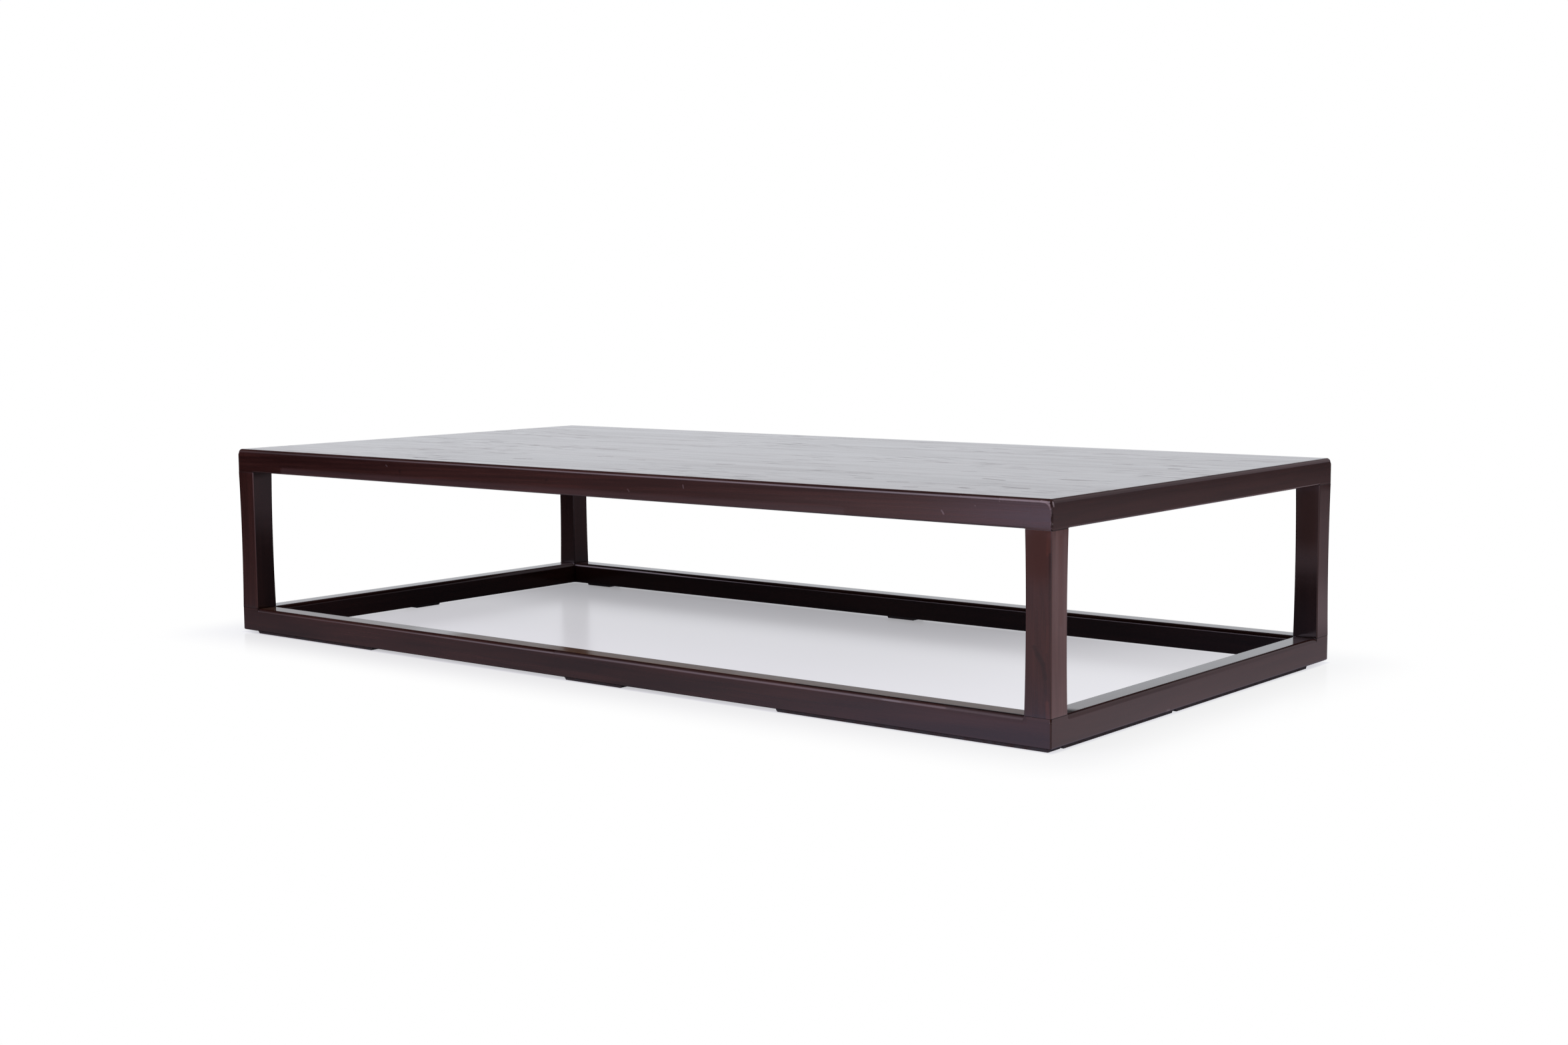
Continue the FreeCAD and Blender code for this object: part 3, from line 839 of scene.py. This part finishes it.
def rubbed_copy(edges, node, piece_name, finishes, run_axes, spacing, edge_width, sides,
                flatten=True):
    """A merged copy of a member, which stands for its node, with its arrises rubbed"""
    low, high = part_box(node)
    shape = bmesh.new()
    shape.from_mesh(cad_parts[node].data)
    bmesh.ops.remove_doubles(shape, verts=shape.verts, dist=MERGE_DISTANCE)
    if flatten:
        bmesh.ops.dissolve_limit(
            shape, angle_limit=FLAT_ANGLE, verts=shape.verts[:], edges=shape.edges[:])
    for axis, level in cuts_for(low, high, run_axes, spacing, sides[0] + sides[1], edge_width):
        cut_across(shape, axis, level)
    rub_arrises(shape, low, high, run_axes, sides, edge_width, edge_width * edges.rub_share)
    bmesh.ops.recalc_face_normals(shape, faces=shape.faces[:])
    if len(finishes) > 1:
        for face in shape.faces:
            x, y, z = (abs(part) for part in face.normal)
            leanings = (x, y, z - TOP_FACE_MARGIN)
            face.material_index = FINISH_OF_FACING[leanings.index(max(leanings))]

    mesh = bpy.data.meshes.new(piece_name)
    shape.to_mesh(mesh)
    shape.free()
    mesh.shade_smooth()
    mesh.set_sharp_from_angle(angle=SHARP_ANGLE)
    piece = bpy.data.objects.new(piece_name, mesh)
    bpy.context.scene.collection.objects.link(piece)
    for finish in finishes:
        mesh.materials.append(finish)
    weighted = piece.modifiers.new("even shading", "WEIGHTED_NORMAL")
    weighted.keep_sharp = True
    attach(piece, "root")
    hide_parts(node)


def rubbed_rails(scene, member, edge_width, rubbed_face):
    """The four members of the apron or of the base, with the arrises of one face rubbed"""
    edges = scene.table_edges
    for side in TABLE_SIDES:
        along = GRAIN_OF_SIDE[side]
        node = f"{member}_{side}"
        rubbed_copy(
            edges, node, f"rubbed_{node}",
            (stained_finish(scene.table_wood, along),), along, edges.cut_spacing, edge_width,
            (FACES_BESIDE_GRAIN[along], (rubbed_face,)))


def give_finish(node, material):
    """Puts a finish on a member that keeps its shape"""
    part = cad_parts[node]
    part.material_slots[0].material = material


class KANG_OT_board(bpy.types.Operator):
    """Give the board its rubbed arrises and its lengthways grain"""

    bl_idname = "kang.board"
    bl_label = "Board"

    def execute(self, context):
        wood, edges = context.scene.table_wood, context.scene.table_edges
        finishes = (
            made_once("stained top of the board", board_top_wood, wood),
            stained_finish(wood, "Y"), stained_finish(wood, "X"))
        rubbed_copy(
            edges, "top_board", "rubbed_board", finishes, "XY", edges.cut_spacing,
            edges.board_edge, (("-X", "+X", "-Y", "+Y"), ("+Z",)))
        return {"FINISHED"}


class KANG_OT_aprons(bpy.types.Operator):
    """Give the four aprons their rubbed lower arrises and their grain"""

    bl_idname = "kang.aprons"
    bl_label = "Aprons"

    def execute(self, context):
        rubbed_rails(context.scene, "apron", context.scene.table_edges.apron_edge, "-Z")
        return {"FINISHED"}


class KANG_OT_legs(bpy.types.Operator):
    """Give the four legs their rubbed arrises and their upright grain"""

    bl_idname = "kang.legs"
    bl_label = "Legs"

    def execute(self, context):
        edges = context.scene.table_edges
        material = stained_finish(context.scene.table_wood, "Z")
        for corner in TABLE_CORNERS:
            node = f"leg_{corner}"
            rubbed_copy(
                edges, node, f"rubbed_{node}", (material,), "Z",
                edges.leg_cut_spacing, edges.leg_edge, (("-X", "+X"), ("-Y", "+Y")),
                flatten=False)
        return {"FINISHED"}


class KANG_OT_base_rails(bpy.types.Operator):
    """Give the four base rails their rubbed upper arrises and their grain"""

    bl_idname = "kang.base_rails"
    bl_label = "Base rails"

    def execute(self, context):
        rubbed_rails(context.scene, "base_rail", context.scene.table_edges.base_edge, "+Z")
        return {"FINISHED"}


class KANG_OT_pads(bpy.types.Operator):
    """Give the slips under the base their dull finish"""

    bl_idname = "kang.pads"
    bl_label = "Pads"

    def execute(self, context):
        dull = made_once("dull pad wood", pad_wood, context.scene.table_wood)
        for side in TABLE_SIDES:
            give_finish(f"pads_{side}", dull)
        return {"FINISHED"}


class KANG_OT_inner_members(bpy.types.Operator):
    """Give the members out of sight their plain wood"""

    bl_idname = "kang.inner_members"
    bl_label = "Inner members"

    def execute(self, context):
        wood = context.scene.table_wood
        crossways = made_once("plain wood crossways", plain_wood, wood, "Y")
        lengthways = made_once("plain wood lengthways", plain_wood, wood, "X")
        for place in ("left", "middle", "right"):
            give_finish(f"cross_rail_{place}", crossways)
        for corner in TABLE_CORNERS:
            give_finish(f"corner_block_{corner}", lengthways)
        for node in ("glue_blocks", "base_splines", "apron_splines"):
            give_finish(node, lengthways)
        return {"FINISHED"}


# Studio

WHITE = (1, 1, 1)
FLOOR_CELLS = 8
FLOOR_ROUGHNESS = 0.2
FLOOR_INDEX = 1.5
SENSOR_WIDTH = 36
CLIP_START, CLIP_END = 0.05, 200

# What the lacquer mirrors in the floor: its tints, the lean of the pale part in front of the
# table, the share that is left of it inside the base, and its bright places
NEAR_LEFT_TINT = (0.86, 0.84, 1.00)
NEAR_RIGHT_TINT = (0.97, 0.90, 1.24)
NEAR_END_TINT = (1.10, 0.90, 1.00)
FAR_FRONT_TINT = (1.00, 0.68, 0.74)
FAR_END_TINT = (1.02, 0.80, 0.88)
AHEAD_LEAN = 0.61
INSIDE_SHARE = 0.2
HAZE_SPOT = ((-0.75, -2.85, 0.0), 1.1)
SHEEN_SPOT = ((-0.55, -2.9, 0.0), 0.56)
SHEEN_LINE = ((0.3, -3.1, 0.0), (1.6, -3.5, 0.0), 1.4)

# The room around, by direction, as the lacquer mirrors it and as it lights the table
WINDOW_WAY = (-0.643, 0.766, 0.0)
RIGHT_WALL_WAY = (0.42, 0.90, 0.10)
BACK_LEFT_WALL_WAY = (-0.80, 0.50, 0.33)
FRONT_LIGHT_WAY = (-0.38, -0.74, 0.555)
LOW_ROOM = (0.45, 0.38, 0.50)
HIGH_ROOM = (0.26, 0.235, 0.26)
RIGHT_WALL = (0.95, 0.80, 0.88)
BACK_LEFT_WALL = (0.03, 0.027, 0.03)
ROOM_LIGHT = (0.50, 0.51, 0.54)
SIDE_LIGHT_COLOUR = (1, 0.98, 1)


def floor_white(finish, studio, across, depth, away, outside):
    """How near to white the camera sees the floor: dimmer under the table than round it"""
    under = studio.inner_lift + finish.ramp(across + depth, "white under, corner to corner") \
        + finish.ramp(across, "white under, right half") \
        - finish.ramp(depth, "shade at the back") * finish.ramp(across, "shade, left to right")
    close = studio.outer_lift + finish.ramp(across, "white beside, left to right")
    beside = close + (1 - close) * finish.ramp(away, "white beside, outwards")
    return under + outside * (beside - under)


def floor_in_lacquer(finish, studio, place, across, depth, away, outside):
    """What the lacquer mirrors in the floor: paler ahead of the table, and past its right end"""
    leaning = across - depth * AHEAD_LEAN
    ahead = finish.ramp(leaning, "mirrored ahead, far and wide") \
        + finish.ramp(leaning, "mirrored ahead, at the right") + finish.spot(place, *HAZE_SPOT)
    glow = finish.ramp(depth, "glow aside, starts") - finish.ramp(depth, "glow aside, ends")
    aside = finish.ramp(depth, "mirrored aside") - finish.ramp(depth, "mirrored aside, far back") \
        + finish.ramp(depth, "mirrored aside, in front") \
        + glow * finish.ramp(away, "glow aside, outwards")
    past_end = finish.ramp(across, "past the right end")
    brightness = (ahead + past_end * (aside - ahead)) \
        * (outside * (1 - INSIDE_SHARE) + INSIDE_SHARE)

    near = finish.colour(
        finish.ramp(across, "tint, left to right"), NEAR_LEFT_TINT, NEAR_RIGHT_TINT)
    near = finish.colour(past_end, near, NEAR_END_TINT)
    far = finish.colour(past_end, FAR_FRONT_TINT, FAR_END_TINT)
    tint = finish.colour(finish.ramp(away, "tint, near to far"), near, far)
    mirrored = finish.vector("MULTIPLY", tint, brightness)
    mirrored = finish.colour(finish.spot(place, *SHEEN_SPOT), mirrored, studio.sheen_colour)
    return finish.colour(finish.line(place, *SHEEN_LINE), mirrored, studio.sheen_colour)


def floor_finish(studio):
    """A glossy white floor, as the camera sees it, as the lacquer mirrors it and as it is"""
    finish = Finish(bpy.data.materials.new("studio floor"))
    place = finish.place()
    across, depth = finish.part(place, "X"), finish.part(place, "Y")
    half = ((table_high.x - table_low.x) / 2, (table_high.y - table_low.y) / 2, 1.0)
    beyond = finish.vector("SUBTRACT", finish.vector("ABSOLUTE", place), half)
    away = finish.vector("LENGTH", finish.vector("MAXIMUM", beyond, (0, 0, 0)), out="Value")
    outside = finish.ramp(away, "outside the base")

    natural = finish.surface(
        (*studio.floor_colour, 1), FLOOR_ROUGHNESS, {"IOR": FLOOR_INDEX})
    white = finish.glow(finish.colour(outside, studio.shade_colour, WHITE))
    seen = finish.either(
        floor_white(finish, studio, across, depth, away, outside), natural, white)
    mirrored = finish.glow(
        floor_in_lacquer(finish, studio, place, across, depth, away, outside))
    unseen = finish.either(finish.seen_by("Glossy"), natural, mirrored)
    finish.output(finish.either(finish.seen_by("Camera"), unseen, seen))
    return finish.owner


def studio_world(studio):
    """White to the camera, even light on the table, and in the lacquer a room with a window"""
    finish = Finish(bpy.data.worlds.new("studio"))
    way = finish.node("ShaderNodeTexCoord", out="Generated")
    rise = finish.part(way, "Z")
    room = finish.colour(finish.ramp(rise, "dim room, upwards"), LOW_ROOM, HIGH_ROOM)
    at_right = finish.ramp(finish.agreement(way, RIGHT_WALL_WAY), "pale wall at the right")
    room = finish.colour(at_right, room, RIGHT_WALL)
    at_left = finish.ramp(
        finish.agreement(way, BACK_LEFT_WALL_WAY), "dark wall at the back left")
    room = finish.colour(at_left, room, BACK_LEFT_WALL)
    window = finish.ramp(finish.agreement(way, WINDOW_WAY), "window, sideways") \
        * finish.ramp(rise, "window, upwards")
    room = finish.colour(window, room, studio.window_colour)
    in_front = finish.ramp(finish.agreement(way, FRONT_LIGHT_WAY), "front light")
    room = finish.colour(in_front, room, [c * studio.key_shine for c in studio.key_colour])
    around = finish.colour(finish.seen_by("Glossy"), ROOM_LIGHT, room)
    shown = finish.colour(finish.seen_by("Camera"), around, WHITE)
    finish.output(
        finish.node("ShaderNodeBackground", None, {"Color": shown, "Strength": 1.0}),
        "ShaderNodeOutputWorld")
    return finish.owner


def softbox(name, place, aim, size, power, colour, shows_in_gloss):
    """A soft rectangular light, which the camera doesn't see"""
    lamp = bpy.data.lights.new(name, "AREA")
    lamp.shape = "RECTANGLE"
    lamp.size, lamp.size_y = size
    lamp.energy = power
    lamp.color = colour
    box = bpy.data.objects.new(name, lamp)
    box.location = place
    box.rotation_euler = (Vector(aim) - Vector(place)).to_track_quat("-Z", "Y").to_euler()
    box.visible_camera = False
    box.visible_glossy = shows_in_gloss
    bpy.context.scene.collection.objects.link(box)


def studio_camera(studio):
    """A camera where the photograph was taken from"""
    lens = bpy.data.cameras.new("studio_camera")
    lens.sensor_width = SENSOR_WIDTH
    lens.lens = studio.camera_lens
    lens.clip_start = CLIP_START
    lens.clip_end = CLIP_END
    camera = bpy.data.objects.new("studio_camera", lens)
    turn = (Matrix.Rotation(studio.camera_azimuth, 4, "Z")
            @ Matrix.Rotation(math.pi / 2 - studio.camera_elevation, 4, "X")
            @ Matrix.Rotation(studio.camera_roll, 4, "Z"))
    camera.matrix_world = Matrix.Translation(studio.camera_place) @ turn
    return camera


class KANG_OT_studio(bpy.types.Operator):
    """Make the floor, the backdrop, the lights and the camera"""

    bl_idname = "kang.studio"
    bl_label = "Studio"

    def execute(self, context):
        scene = context.scene
        studio = scene.table_studio
        shape = bmesh.new()
        bmesh.ops.create_grid(
            shape, x_segments=FLOOR_CELLS, y_segments=FLOOR_CELLS, size=studio.floor_reach)
        mesh = bpy.data.meshes.new("studio_floor")
        shape.to_mesh(mesh)
        shape.free()
        mesh.materials.append(floor_finish(studio))
        floor = bpy.data.objects.new("studio_floor", mesh)
        scene.collection.objects.link(floor)
        scene.world = studio_world(studio)
        scene.view_settings.view_transform = "Standard"

        softbox("front_softbox", place=(-0.55, -2.25, 1.45), aim=(0.5, -0.3, 0.2),
                size=(1.3, 1.1), power=studio.key_power, colour=studio.key_colour,
                shows_in_gloss=False)
        softbox("side_softbox", place=(2.8, -0.3, 1.6), aim=(0.8, -0.4, 0.3),
                size=(0.6, 0.9), power=studio.side_power, colour=SIDE_LIGHT_COLOUR,
                shows_in_gloss=True)
        softbox("overhead_softbox", place=(0, 0, 2.6), aim=(0, 0, 0),
                size=(3.2, 2.4), power=studio.sky_power, colour=WHITE,
                shows_in_gloss=False)
        camera = studio_camera(studio)
        scene.collection.objects.link(camera)
        scene.camera = camera
        return {"FINISHED"}


class KANG_PT_table(bpy.types.Panel):
    """The steps that make the table's looks"""

    bl_label = "Low kang table"
    bl_idname = "KANG_PT_table"
    bl_space_type = "VIEW_3D"
    bl_region_type = "UI"
    bl_category = "Kang table"

    def draw(self, context):
        for operator in OPERATORS:
            self.layout.operator(operator.bl_idname)
        for group_name in GROUPS:
            group = getattr(context.scene, group_name)
            box = self.layout.box()
            for name in group.bl_rna.properties.keys():
                if name not in ("rna_type", "name"):
                    box.prop(group, name)


OPERATORS = (
    KANG_OT_board, KANG_OT_aprons, KANG_OT_legs, KANG_OT_base_rails, KANG_OT_pads,
    KANG_OT_inner_members, KANG_OT_studio)
GROUPS = {"table_edges": TableEdges, "table_wood": TableWood, "table_studio": TableStudio}
CLASSES = (*GROUPS.values(), *OPERATORS, KANG_PT_table)


def register():
    for made in CLASSES:
        bpy.utils.register_class(made)
    for name, group in GROUPS.items():
        setattr(bpy.types.Scene, name, bpy.props.PointerProperty(type=group))


def unregister():
    for name in GROUPS:
        delattr(bpy.types.Scene, name)
    for made in reversed(CLASSES):
        bpy.utils.unregister_class(made)


def main():
    """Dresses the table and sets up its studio"""
    register()
    bpy.ops.kang.board()
    bpy.ops.kang.aprons()
    bpy.ops.kang.legs()
    bpy.ops.kang.base_rails()
    bpy.ops.kang.pads()
    bpy.ops.kang.inner_members()
    bpy.ops.kang.studio()


if __name__ == "__main__":
    main()
